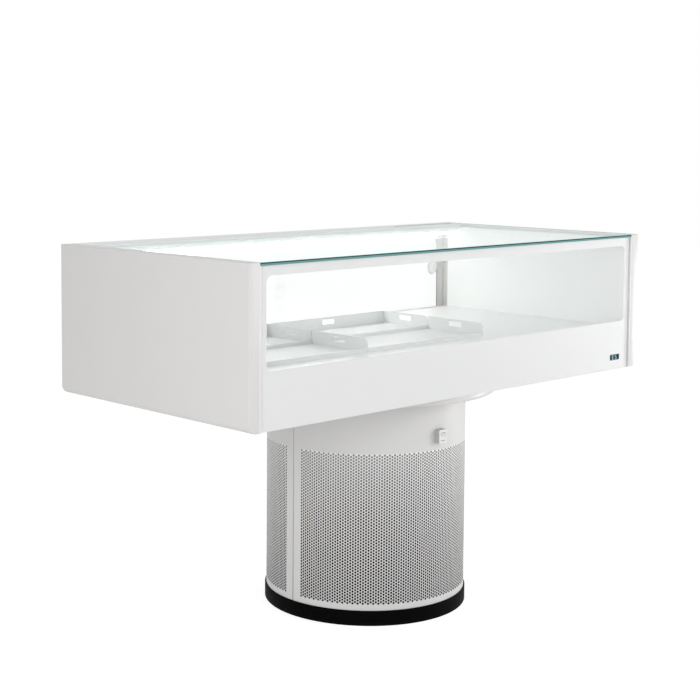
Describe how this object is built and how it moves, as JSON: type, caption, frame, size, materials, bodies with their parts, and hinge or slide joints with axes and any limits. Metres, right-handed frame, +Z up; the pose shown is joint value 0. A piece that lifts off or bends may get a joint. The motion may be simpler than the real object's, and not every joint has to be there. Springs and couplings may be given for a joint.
{
  "type": "refrigerated pastry display case",
  "caption": "Long white refrigerated pastry display case with a glass front, glass top and rear sliding doors, held up by a round perforated pedestal with the cooling machine inside.",
  "frame": {"origin": "floor, under the middle of the case, on the pedestal's axis", "axes": "+X to the customer's right along the case, +Y towards the server's side, +Z up"},
  "size_m": [1.93, 0.938, 1.27],
  "materials": {
    "white_board": "white laminate, satin",
    "white_steel": "white powder coat, satin",
    "perforated_sheet": "white powder coat, satin",
    "black_plastic": "black, matt",
    "frame_steel": "zinc grey",
    "black_steel": "black enamel",
    "foam": "rigid foam",
    "liner_steel": "brushed",
    "fin_metal": "mill finish",
    "white_aluminium": "white coat, satin",
    "plain_aluminium": "anodised",
    "copper": "copper tube",
    "grey_plastic": "grey, matt",
    "rubber": "black rubber",
    "seal": "clear silicone",
    "clear_glass": "clear, polished",
    "white_print": "white enamel behind glass",
    "white_tray": "white, satin",
    "light": "opal, lit",
    "filter_fleece": "black fleece",
    "dark_lens": "dark lens",
    "switch_plastic": "light grey"
  },
  "bodies": {
    "cabinet": {"plinth_ring": "black_plastic", "base_plate": "frame_steel", "support_posts": "frame_steel", "collar_plate": "white_board", "front_shell": "perforated_sheet", "rear_shell": "perforated_sheet", "front_filter": "filter_fleece", "rear_filter": "filter_fleece", "cable_gland": "black_plastic", "switch_box": "switch_plastic", "condenser_coil": "fin_metal", "fan_shroud": "black_steel", "fan_motor": "black_steel", "compressor": "black_steel", "compressor_mounts": "rubber", "discharge_line": "copper", "liquid_line": "copper", "suction_line": "copper", "electrical_box": "frame_steel", "condensate_tray": "grey_plastic", "drain_pipe": "grey_plastic", "tub_shell": "white_steel", "tub_insulation": "foam", "tub_liner": "liner_steel", "pipe_grommet": "rubber", "evaporator_coil": "fin_metal", "evaporator_baffle": "plain_aluminium", "evaporator_fan_frames": "black_plastic", "deck_bearers": "plain_aluminium", "deck_plates": "white_aluminium", "air_grilles": "white_aluminium", "left_side_panel": "white_board", "right_side_panel": "white_board", "inner_walls": "white_board", "front_posts": "white_board", "front_glass": "clear_glass", "top_glass": "clear_glass", "front_print": "white_print", "controller": "black_plastic", "controller_lens": "dark_lens", "glass_seal": "seal", "rear_rail": "white_aluminium", "driver_cover": "white_aluminium", "light_profiles": "white_aluminium", "light_diffusers": "light", "upper_door_track": "white_aluminium", "lower_door_track": "white_aluminium"},
    "left_door": {"left_door_glass": "clear_glass", "left_door_fittings": "white_aluminium"},
    "right_door": {"right_door_glass": "clear_glass", "right_door_fittings": "white_aluminium"},
    "condenser_fan": {"condenser_fan": "grey_plastic"},
    "left_rotor": {"evaporator_rotor_left": "black_plastic"},
    "right_rotor": {"evaporator_rotor_right": "black_plastic"},
    "rocker": {"switch_rocker": "switch_plastic"},
    "front_left_tray": {"front_left_tray": "white_tray"},
    "rear_left_tray": {"rear_left_tray": "white_tray"},
    "front_centre_tray": {"front_centre_tray": "white_tray"},
    "rear_centre_tray": {"rear_centre_tray": "white_tray"}
  },
  "joints": [
    {"name": "left_door_slide", "type": "slide", "parent": "cabinet", "child": "left_door", "axis": [1, 0, 0], "range_m": [0, 0.9]},
    {"name": "right_door_slide", "type": "slide", "parent": "cabinet", "child": "right_door", "axis": [-1, 0, 0], "range_m": [0, 0.9]},
    {"name": "condenser_fan_spin", "type": "hinge", "parent": "cabinet", "child": "condenser_fan", "pos_m": [0, -0.135, 0.221], "axis": [0, 1, 0], "continuous": true},
    {"name": "left_rotor_spin", "type": "hinge", "parent": "cabinet", "child": "left_rotor", "pos_m": [-0.43, 0.1607, 0.856], "axis": [0, -1, 0], "continuous": true},
    {"name": "right_rotor_spin", "type": "hinge", "parent": "cabinet", "child": "right_rotor", "pos_m": [0.01, 0.1607, 0.856], "axis": [0, -1, 0], "continuous": true},
    {"name": "rocker_tilt", "type": "hinge", "parent": "cabinet", "child": "rocker", "pos_m": [-0.01, -0.365, 0.626], "axis": [1, 0, 0], "range_deg": [-16, 0]},
    {"name": "front_left_tray_lift", "type": "slide", "parent": "cabinet", "child": "front_left_tray", "axis": [0, 0, 1], "range_m": [0, 0.2]},
    {"name": "rear_left_tray_lift", "type": "slide", "parent": "cabinet", "child": "rear_left_tray", "axis": [0, 0, 1], "range_m": [0, 0.2]},
    {"name": "front_centre_tray_lift", "type": "slide", "parent": "cabinet", "child": "front_centre_tray", "axis": [0, 0, 1], "range_m": [0, 0.2]},
    {"name": "rear_centre_tray_lift", "type": "slide", "parent": "cabinet", "child": "rear_centre_tray", "axis": [0, 0, 1], "range_m": [0, 0.2]}
  ]
}
